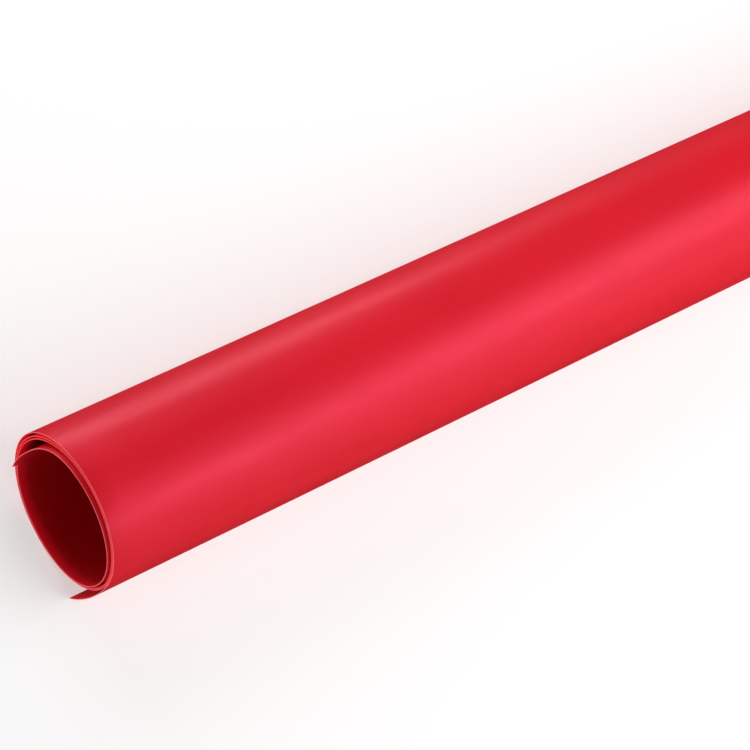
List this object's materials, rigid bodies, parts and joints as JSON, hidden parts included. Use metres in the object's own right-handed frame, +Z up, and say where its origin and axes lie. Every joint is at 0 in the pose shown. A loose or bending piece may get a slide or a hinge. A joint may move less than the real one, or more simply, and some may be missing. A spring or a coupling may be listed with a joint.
{
  "type": "backdrop sheet roll",
  "caption": "Smooth matt plastic studio backdrop sheet wound into a loose hollow roll without a core, its outer edge hanging free as a flap and its inner edge springing into the hollow.",
  "frame": {"origin": "the middle of the lying roll's footprint, on the floor", "axes": "+X along the roll, away from the end that the inner turn has crept out of; +Z up; the free outer edge hangs on the -Y side"},
  "size_m": [1.0052, 0.1154, 0.1154],
  "materials": {
    "red_sheet": "matt"
  },
  "bodies": {
    "roll": {"rolled_sheet": "red_sheet"},
    "outer_flap": {"outer_flap": "red_sheet"},
    "inner_lip": {"inner_lip": "red_sheet"}
  },
  "joints": [
    {"name": "outer_flap_flex", "type": "hinge", "parent": "roll", "child": "outer_flap", "pos_m": [0, -0.05726, 0.05513], "axis": [-1, 0, 0], "range_deg": [-8, 60], "stiffness_Nm_per_rad": 1.4},
    {"name": "inner_lip_flex", "type": "hinge", "parent": "roll", "child": "inner_lip", "pos_m": [0, 0.0323, 0.09671], "axis": [-1, 0, 0], "range_deg": [-1, 40], "stiffness_Nm_per_rad": 1.1}
  ]
}
